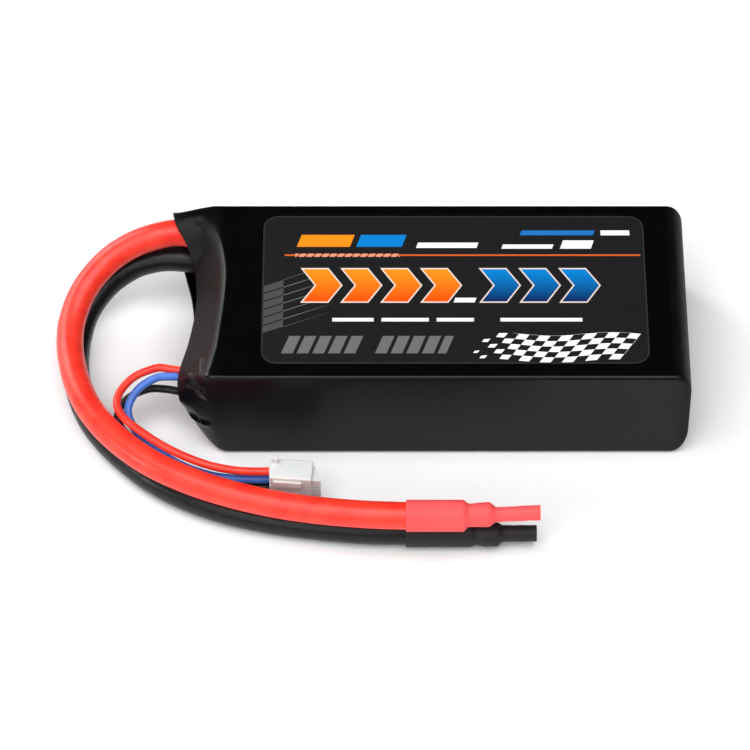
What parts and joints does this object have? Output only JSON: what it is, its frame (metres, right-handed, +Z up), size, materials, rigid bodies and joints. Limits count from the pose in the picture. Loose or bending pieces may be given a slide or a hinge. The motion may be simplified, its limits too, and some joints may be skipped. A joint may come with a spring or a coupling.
{
  "type": "lithium polymer battery pack",
  "caption": "Flat black shrink-wrapped battery pack with printed top label, red and black power leads in slip-off end sleeves, and thin balance wires to a white plug.",
  "frame": {"origin": "middle of the wrap's length and width, on the surface that the pack lies on", "axes": "+X towards the closed end of the pack, away from the leads; +Y to the side where the power leads come out; +Z up through the label"},
  "size_m": [0.1273, 0.0728, 0.0238],
  "materials": {
    "wrap": "glossy black PVC shrink film",
    "label": "satin printed film, charcoal with orange, blue and white graphics",
    "stiffener": "bare glass-fibre laminate",
    "pouch": "satin laminated aluminium foil",
    "tape": "double-sided adhesive tape",
    "aluminium_tab": "plain rolled strip",
    "nickel_tab": "nickel-plated strip",
    "circuit_board": "green solder mask",
    "foam": "closed-cell black foam",
    "solder": "bright solder",
    "red_silicone": "satin red silicone insulation",
    "black_silicone": "satin black silicone insulation",
    "blue_silicone": "satin blue silicone insulation",
    "tinned_copper": "tinned stranded copper",
    "red_shrink": "matte salmon-red heat-shrink tubing",
    "black_shrink": "matte black heat-shrink tubing",
    "plug_nylon": "moulded white nylon",
    "contact": "tin-plated spring contact"
  },
  "bodies": {
    "pack": {"shrink_wrap": "wrap", "top_label": "label", "top_stiffener_board": "stiffener", "bottom_stiffener_board": "stiffener", "upper_cell": "pouch", "lower_cell": "pouch", "cell_bonding_tape": "tape", "upper_cell_positive_tab": "aluminium_tab", "upper_cell_negative_tab": "nickel_tab", "lower_cell_positive_tab": "aluminium_tab", "lower_cell_negative_tab": "nickel_tab", "series_link_strip": "nickel_tab", "terminal_board": "circuit_board", "front_spacer_foam": "foam", "rear_end_foam": "foam", "red_solder_joint": "solder", "black_solder_joint": "solder", "red_balance_joint": "solder", "blue_balance_joint": "solder", "black_balance_joint": "solder", "red_power_lead": "red_silicone", "black_power_lead": "black_silicone", "red_conductor": "tinned_copper", "black_conductor": "tinned_copper", "red_balance_wire": "red_silicone", "blue_balance_wire": "blue_silicone", "black_balance_wire": "black_silicone", "balance_plug_housing": "plug_nylon", "red_crimp_contact": "contact", "blue_crimp_contact": "contact", "black_crimp_contact": "contact"},
    "red_sleeve": {"red_end_sleeve": "red_shrink"},
    "black_sleeve": {"black_end_sleeve": "black_shrink"}
  },
  "joints": [
    {"name": "red_sleeve_pull", "type": "slide", "parent": "pack", "child": "red_sleeve", "axis": [1, 0, 0], "range_m": [0, 0.016]},
    {"name": "black_sleeve_pull", "type": "slide", "parent": "pack", "child": "black_sleeve", "axis": [1, 0, 0], "range_m": [0, 0.016]}
  ]
}
